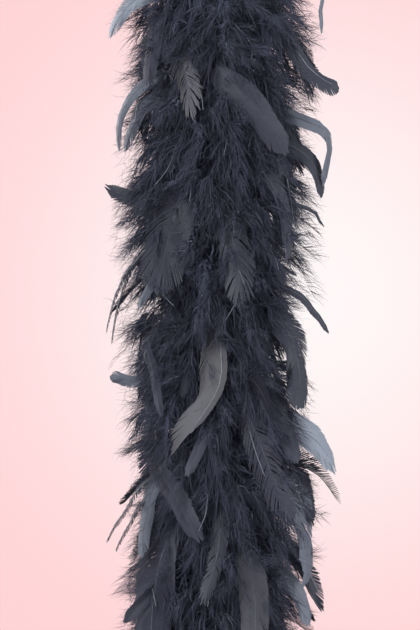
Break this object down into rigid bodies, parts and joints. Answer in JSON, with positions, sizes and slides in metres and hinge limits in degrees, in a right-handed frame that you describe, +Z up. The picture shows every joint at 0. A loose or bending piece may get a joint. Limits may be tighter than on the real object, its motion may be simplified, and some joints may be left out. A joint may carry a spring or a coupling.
{
  "type": "feather boa",
  "caption": "Full-length costume boa of black downy and flat feathers whorled on a limp cord, hanging straight from the eye at its end",
  "frame": {"origin": "the inside top of the cord eye at the upper end, where a hook or peg bears", "axes": "+Z up along the hanging boa, +X and +Y across it; the boa hangs down along -Z"},
  "size_m": [0.2366, 0.2227, 1.8898],
  "materials": {
    "feather": "matte",
    "cord": "matte",
    "thread": "satin"
  },
  "bodies": {
    "hanger": {"hanging_eye": "cord", "top_knot": "cord", "top_whipping": "thread"},
    "section_01": {"core_cord_01": "cord", "feather_whorl_01_a": "feather", "feather_whorl_01_b": "feather", "feather_whorl_01_c": "feather", "feather_whorl_01_d": "feather"},
    "section_02": {"core_cord_02": "cord", "feather_whorl_02_a": "feather", "feather_whorl_02_b": "feather", "feather_whorl_02_c": "feather", "feather_whorl_02_d": "feather"},
    "section_03": {"core_cord_03": "cord", "feather_whorl_03_a": "feather", "feather_whorl_03_b": "feather", "feather_whorl_03_c": "feather", "feather_whorl_03_d": "feather"},
    "section_04": {"core_cord_04": "cord", "feather_whorl_04_a": "feather", "feather_whorl_04_b": "feather", "feather_whorl_04_c": "feather", "feather_whorl_04_d": "feather"},
    "section_05": {"core_cord_05": "cord", "feather_whorl_05_a": "feather", "feather_whorl_05_b": "feather", "feather_whorl_05_c": "feather", "feather_whorl_05_d": "feather"},
    "section_06": {"core_cord_06": "cord", "feather_whorl_06_a": "feather", "feather_whorl_06_b": "feather", "feather_whorl_06_c": "feather", "feather_whorl_06_d": "feather"},
    "section_07": {"core_cord_07": "cord", "feather_whorl_07_a": "feather", "feather_whorl_07_b": "feather", "feather_whorl_07_c": "feather", "feather_whorl_07_d": "feather"},
    "section_08": {"core_cord_08": "cord", "feather_whorl_08_a": "feather", "feather_whorl_08_b": "feather", "feather_whorl_08_c": "feather", "feather_whorl_08_d": "feather"},
    "section_09": {"core_cord_09": "cord", "feather_whorl_09_a": "feather", "feather_whorl_09_b": "feather", "feather_whorl_09_c": "feather", "feather_whorl_09_d": "feather"},
    "section_10": {"core_cord_10": "cord", "feather_whorl_10_a": "feather", "feather_whorl_10_b": "feather", "feather_whorl_10_c": "feather", "feather_whorl_10_d": "feather", "end_whipping": "thread", "end_knot": "cord", "end_tail": "cord"}
  },
  "joints": [
    {"name": "bend_01", "type": "hinge", "parent": "hanger", "child": "section_01", "pos_m": [0, 0, -0.0463], "axis": [0, 1, 0], "range_deg": [-35, 35]},
    {"name": "bend_02", "type": "hinge", "parent": "section_01", "child": "section_02", "pos_m": [0, 0, -0.2263], "axis": [1, 0, 0], "range_deg": [-35, 35]},
    {"name": "bend_03", "type": "hinge", "parent": "section_02", "child": "section_03", "pos_m": [0, 0, -0.4063], "axis": [0, 1, 0], "range_deg": [-35, 35]},
    {"name": "bend_04", "type": "hinge", "parent": "section_03", "child": "section_04", "pos_m": [0, 0, -0.5863], "axis": [1, 0, 0], "range_deg": [-35, 35]},
    {"name": "bend_05", "type": "hinge", "parent": "section_04", "child": "section_05", "pos_m": [0, 0, -0.7663], "axis": [0, 1, 0], "range_deg": [-35, 35]},
    {"name": "bend_06", "type": "hinge", "parent": "section_05", "child": "section_06", "pos_m": [0, 0, -0.9463], "axis": [1, 0, 0], "range_deg": [-35, 35]},
    {"name": "bend_07", "type": "hinge", "parent": "section_06", "child": "section_07", "pos_m": [0, 0, -1.1263], "axis": [0, 1, 0], "range_deg": [-35, 35]},
    {"name": "bend_08", "type": "hinge", "parent": "section_07", "child": "section_08", "pos_m": [0, 0, -1.3063], "axis": [1, 0, 0], "range_deg": [-35, 35]},
    {"name": "bend_09", "type": "hinge", "parent": "section_08", "child": "section_09", "pos_m": [0, 0, -1.4863], "axis": [0, 1, 0], "range_deg": [-35, 35]},
    {"name": "bend_10", "type": "hinge", "parent": "section_09", "child": "section_10", "pos_m": [0, 0, -1.6663], "axis": [1, 0, 0], "range_deg": [-35, 35]}
  ]
}
